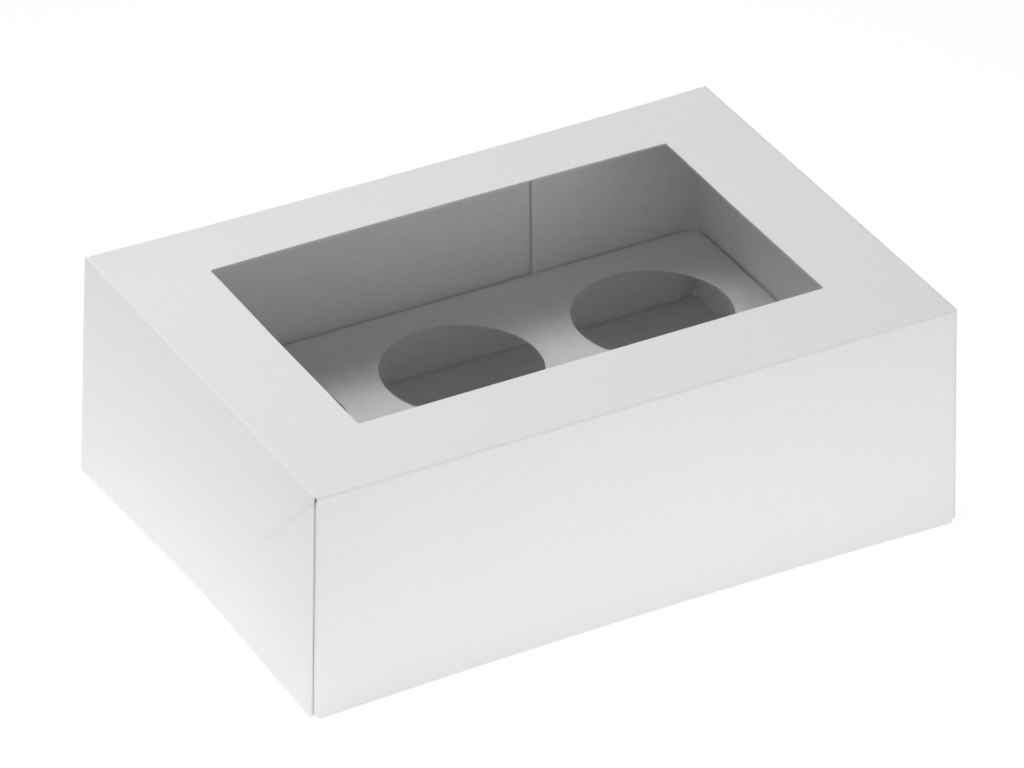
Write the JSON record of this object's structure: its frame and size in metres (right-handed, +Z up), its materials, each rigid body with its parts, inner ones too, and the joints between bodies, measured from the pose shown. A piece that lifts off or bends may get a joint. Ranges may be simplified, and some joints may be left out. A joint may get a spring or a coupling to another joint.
{
  "type": "cupcake box",
  "caption": "White carton box for six cupcakes: tray, hinged full-depth lid with a clear window, and a six-hole card insert.",
  "frame": {"origin": "on the surface that the box stands on, under the middle of its outline", "axes": "+Z up, +X along the front of the box to the right as seen from the front, +Y from the front to the hinged back"},
  "size_m": [0.2468, 0.1674, 0.085],
  "materials": {
    "coated_board": "satin",
    "insert_card": "matte",
    "clear_film": "clear gloss"
  },
  "bodies": {
    "carton": {"tray": "coated_board", "insert": "insert_card"},
    "lid": {"lid": "coated_board", "window_film": "clear_film"}
  },
  "joints": [
    {"name": "lid_hinge", "type": "hinge", "parent": "carton", "child": "lid", "pos_m": [0, 0.0837, 0.0845], "axis": [-1, 0, 0], "range_deg": [0, 210]}
  ]
}
